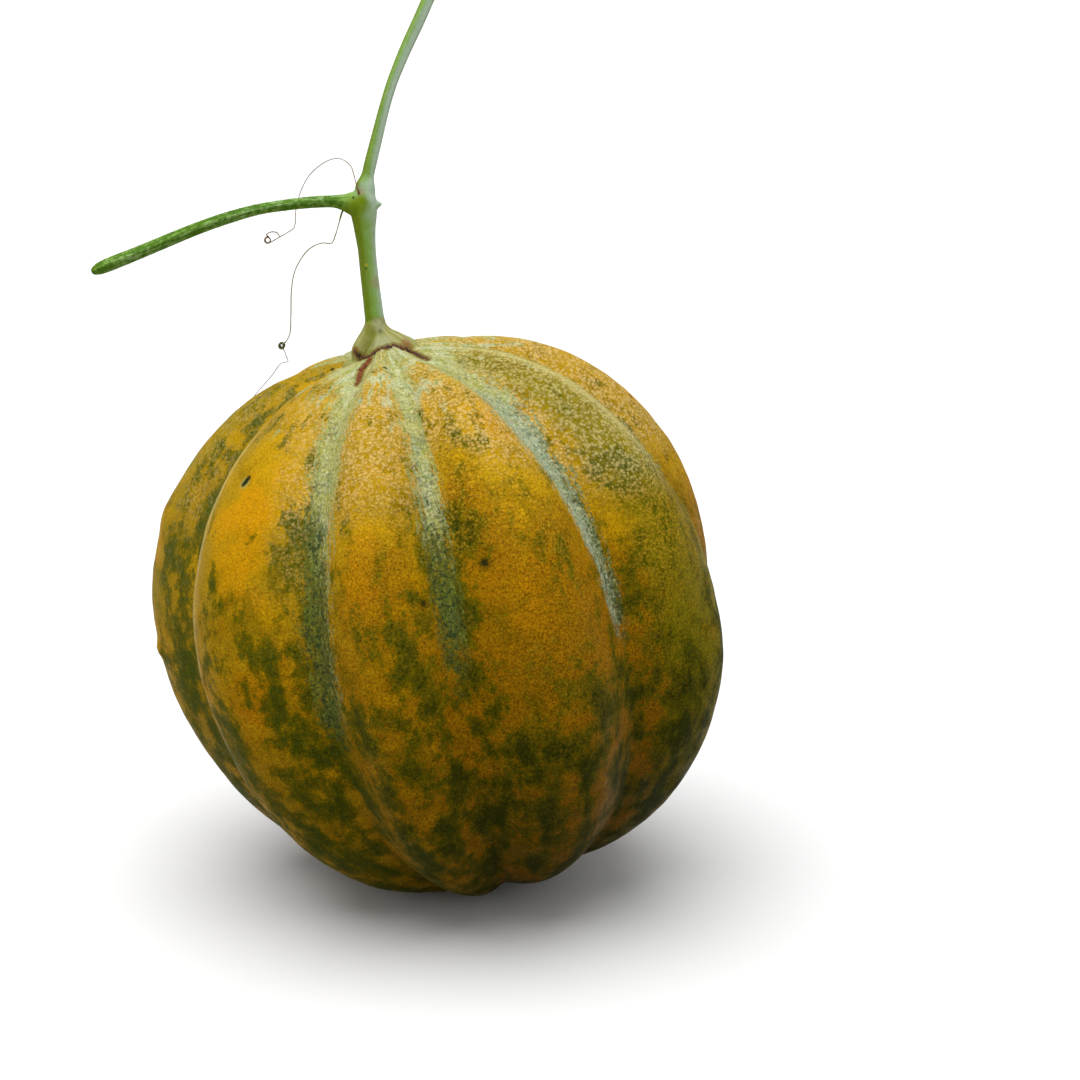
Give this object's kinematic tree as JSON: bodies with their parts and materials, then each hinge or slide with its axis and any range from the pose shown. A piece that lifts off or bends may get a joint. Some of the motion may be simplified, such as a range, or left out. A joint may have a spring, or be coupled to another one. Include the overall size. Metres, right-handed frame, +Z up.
{
  "type": "cantaloupe melon",
  "caption": "Whole ribbed melon with its stalk, a cut length of vine and dried tendrils, resting on a small flat spot.",
  "frame": {"origin": "middle of the small flat spot that the fruit rests on", "axes": "+Z up, -Y towards the side that shows best, the stalk end leans towards -X"},
  "size_m": [0.1994, 0.1871, 0.2943],
  "materials": {
    "melon_skin": "waxy skin with a fine raised net",
    "green_vine": "fresh green stem, ridged and slightly downy",
    "dry_tendril_brown": "dry and matt",
    "dry_tendril_olive": "dry and matt"
  },
  "bodies": {
    "root": {"melon_fruit": "melon_skin", "stalk_and_vine": "green_vine", "tendril_upper": "dry_tendril_brown", "tendril_lower": "dry_tendril_olive"}
  },
  "joints": []
}
